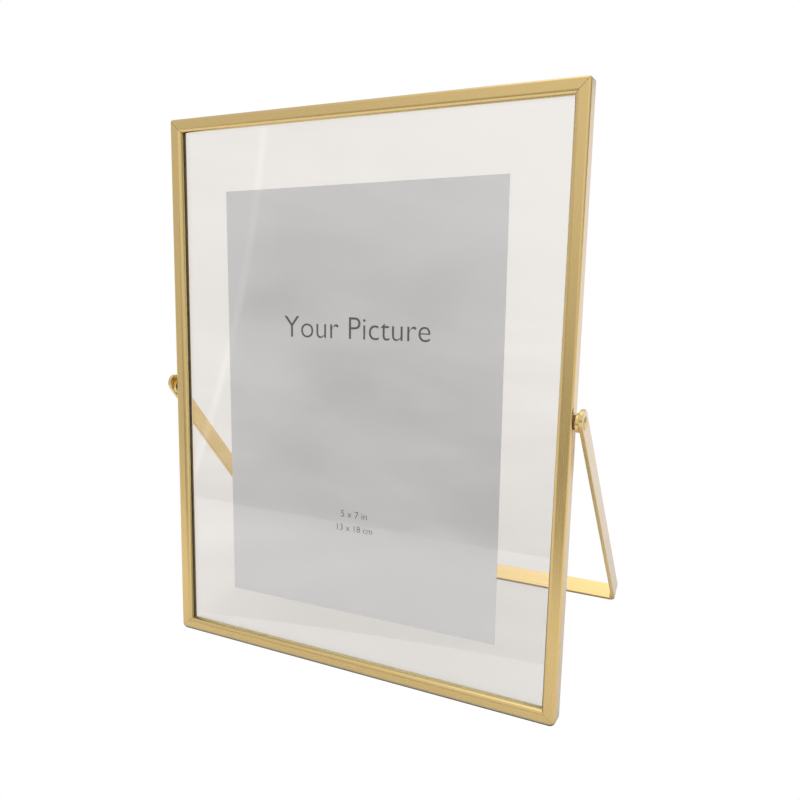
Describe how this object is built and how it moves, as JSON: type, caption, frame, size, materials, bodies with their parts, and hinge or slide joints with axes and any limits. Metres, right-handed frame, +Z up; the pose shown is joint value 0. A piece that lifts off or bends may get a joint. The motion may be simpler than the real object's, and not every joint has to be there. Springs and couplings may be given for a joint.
{
  "type": "floating picture frame with folding stand",
  "caption": "Slim brass channel frame holding a sheet of card between two clear panes, propped up by a U-shaped strip stand that pivots on rivets at the stiles.",
  "frame": {"origin": "centre of the footprint on the ground, under the middle of the whole object's bounding box", "axes": "+Z up from the shelf, +X to the right as seen from the front, +Y towards the back, where the stand is; the frame leans back towards +Y"},
  "size_m": [0.1924, 0.093, 0.2264],
  "materials": {
    "satin_brass": "satin, fine lengthwise grain under clear lacquer",
    "key_steel": "plain zinc-plated strip",
    "spring_bronze": "dull phosphor bronze",
    "clear_glass": "polished clear float glass",
    "insert_card": "smooth light grey card with a soft sheen"
  },
  "bodies": {
    "frame": {"bottom_rail": "satin_brass", "left_stile": "satin_brass", "right_stile": "satin_brass", "bottom_left_key": "key_steel", "bottom_right_key": "key_steel", "left_pivot_rivet": "satin_brass", "right_pivot_rivet": "satin_brass", "left_spring_washer": "spring_bronze", "right_spring_washer": "spring_bronze", "left_spacer_washer": "satin_brass", "right_spacer_washer": "satin_brass"},
    "glass_pack": {"front_glass": "clear_glass", "rear_glass": "clear_glass", "insert_card": "insert_card"},
    "top_bar": {"top_rail": "satin_brass", "top_left_key": "key_steel", "top_right_key": "key_steel"},
    "stand": {"stand_strip": "satin_brass"}
  },
  "joints": [
    {"name": "stand_pivot", "type": "hinge", "parent": "frame", "child": "stand", "pos_m": [0, -0.01096, 0.11308], "axis": [1, 0, 0], "range_deg": [-41.85, 48.15]},
    {"name": "glass_slide", "type": "slide", "parent": "frame", "child": "glass_pack", "axis": [0, 0.2745, 0.9616], "range_m": [0, 0.08]},
    {"name": "top_bar_lift", "type": "slide", "parent": "frame", "child": "top_bar", "axis": [0, 0.2745, 0.9616], "range_m": [0, 0.1]}
  ],
  "couplings": [
    {"joint": "top_bar_lift", "follows": "glass_slide", "ratio": 1.25}
  ]
}
